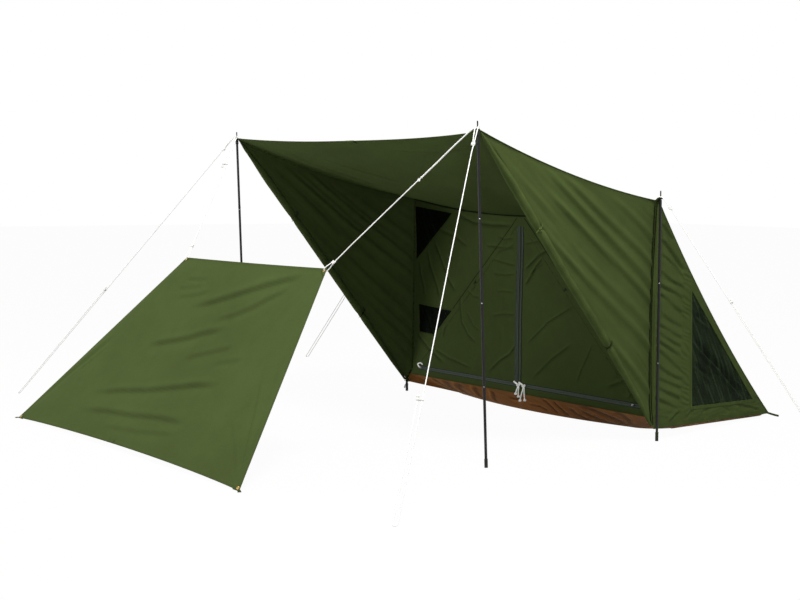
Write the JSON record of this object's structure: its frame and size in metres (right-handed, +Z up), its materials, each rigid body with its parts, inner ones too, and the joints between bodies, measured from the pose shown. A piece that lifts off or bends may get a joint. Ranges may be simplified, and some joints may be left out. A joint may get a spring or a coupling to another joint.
{
  "type": "pup tent",
  "caption": "Pup tent with a raised front canopy, rolled side wings, a zipped front wall with netting windows, a sloping back, a tub floor, steel poles, guylines and a free awning panel",
  "frame": {"origin": "on the ground, under the middle of the groundsheet, 0.72 m behind the ridge", "axes": "+X along the ridge to the right seen from the open front, +Y from the open front to the low rear, +Z up"},
  "size_m": [5.7731, 4.3224, 1.9464],
  "materials": {
    "olive_cloth": "matt olive green woven cloth with soft tension folds",
    "brown_cloth": "brown coated groundsheet cloth, slightly glossy and wrinkled",
    "dark_netting": "fine dark insect netting",
    "black_steel": "black painted steel tube",
    "rubber_foot": "matt black rubber",
    "guyline_cord": "white braided cord",
    "runner_plastic": "off-white moulded plastic",
    "brass_eyelet": "rolled brass eyelet",
    "slider_metal": "grey painted die-cast slider"
  },
  "bodies": {
    "tent": {"canopy_pole_left_section_1": "black_steel", "canopy_pole_left_section_2": "black_steel", "canopy_pole_left_section_3": "black_steel", "canopy_pole_left_section_4": "black_steel", "canopy_pole_left_foot": "rubber_foot", "canopy_pole_right_section_1": "black_steel", "canopy_pole_right_section_2": "black_steel", "canopy_pole_right_section_3": "black_steel", "canopy_pole_right_section_4": "black_steel", "canopy_pole_right_foot": "rubber_foot", "ridge_pole_left_section_1": "black_steel", "ridge_pole_left_section_2": "black_steel", "ridge_pole_left_section_3": "black_steel", "ridge_pole_left_foot": "rubber_foot", "ridge_pole_right_section_1": "black_steel", "ridge_pole_right_section_2": "black_steel", "ridge_pole_right_section_3": "black_steel", "ridge_pole_right_foot": "rubber_foot", "canopy_roof": "olive_cloth", "rear_roof": "olive_cloth", "front_wall": "olive_cloth", "awning_panel": "olive_cloth", "ridge_tab_left": "olive_cloth", "ridge_tab_right": "olive_cloth", "wing_left": "olive_cloth", "wing_right": "olive_cloth", "rolled_flap_left": "olive_cloth", "rolled_flap_right": "olive_cloth", "side_wall_left": "olive_cloth", "side_wall_right": "olive_cloth", "groundsheet": "brown_cloth", "upper_window_net_left": "dark_netting", "upper_window_net_right": "dark_netting", "lower_window_net_left": "dark_netting", "lower_window_net_right": "dark_netting", "side_window_net_left": "dark_netting", "side_window_net_right": "dark_netting", "panel_eyelet_top_left": "brass_eyelet", "panel_eyelet_top_right": "brass_eyelet", "panel_eyelet_foot_left": "brass_eyelet", "panel_eyelet_foot_right": "brass_eyelet", "guyline_front_left": "guyline_cord", "guyline_front_right": "guyline_cord", "guyline_ridge_left": "guyline_cord", "guyline_ridge_right": "guyline_cord", "guyline_panel_left": "guyline_cord", "guyline_panel_right": "guyline_cord"},
    "door_left": {"door_left": "olive_cloth"},
    "upright_slider_left": {"upright_slider_left": "slider_metal"},
    "level_slider_left": {"level_slider_left": "slider_metal"},
    "door_right": {"door_right": "olive_cloth"},
    "upright_slider_right": {"upright_slider_right": "slider_metal"},
    "level_slider_right": {"level_slider_right": "slider_metal"},
    "runner_front_left": {"runner_front_left": "runner_plastic"},
    "runner_front_right": {"runner_front_right": "runner_plastic"},
    "runner_ridge_left": {"runner_ridge_left": "runner_plastic"},
    "runner_ridge_right": {"runner_ridge_right": "runner_plastic"},
    "runner_panel_left": {"runner_panel_left": "runner_plastic"},
    "runner_panel_right": {"runner_panel_right": "runner_plastic"}
  },
  "joints": [
    {"name": "door_left_swing", "type": "hinge", "parent": "tent", "child": "door_left", "pos_m": [-0.58, -0.7218, 0.759], "axis": [-0.7058, 0, -0.7084], "range_deg": [0, 150]},
    {"name": "upright_slider_left_slide", "type": "slide", "parent": "door_left", "child": "upright_slider_left", "axis": [0, 0, 1], "range_m": [0, 1.05]},
    {"name": "level_slider_left_slide", "type": "slide", "parent": "door_left", "child": "level_slider_left", "axis": [1, 0, 0], "range_m": [0, 1.02]},
    {"name": "door_right_swing", "type": "hinge", "parent": "tent", "child": "door_right", "pos_m": [0.58, -0.7218, 0.759], "axis": [-0.7058, 0, 0.7084], "range_deg": [0, 150]},
    {"name": "upright_slider_right_slide", "type": "slide", "parent": "door_right", "child": "upright_slider_right", "axis": [0, 0, 1], "range_m": [0, 1.05]},
    {"name": "level_slider_right_slide", "type": "slide", "parent": "door_right", "child": "level_slider_right", "axis": [-1, 0, 0], "range_m": [0, 1.02]},
    {"name": "runner_front_left_slide", "type": "slide", "parent": "tent", "child": "runner_front_left", "axis": [-0.5713, -0.3734, -0.7309], "range_m": [0, 0.25]},
    {"name": "runner_front_right_slide", "type": "slide", "parent": "tent", "child": "runner_front_right", "axis": [0.3392, -0.4809, -0.8085], "range_m": [0, 0.25]},
    {"name": "runner_ridge_left_slide", "type": "slide", "parent": "tent", "child": "runner_ridge_left", "axis": [-0.8039, 0.1929, -0.5626], "range_m": [0, 0.25]},
    {"name": "runner_ridge_right_slide", "type": "slide", "parent": "tent", "child": "runner_ridge_right", "axis": [0.5347, 0.211, -0.8183], "range_m": [0, 0.25]},
    {"name": "runner_panel_left_slide", "type": "slide", "parent": "tent", "child": "runner_panel_left", "axis": [-0.3405, 0.5483, 0.7638], "range_m": [0, 0.08]},
    {"name": "runner_panel_right_slide", "type": "slide", "parent": "tent", "child": "runner_panel_right", "axis": [0.5187, 0.4974, 0.6954], "range_m": [0, 0.08]}
  ]
}
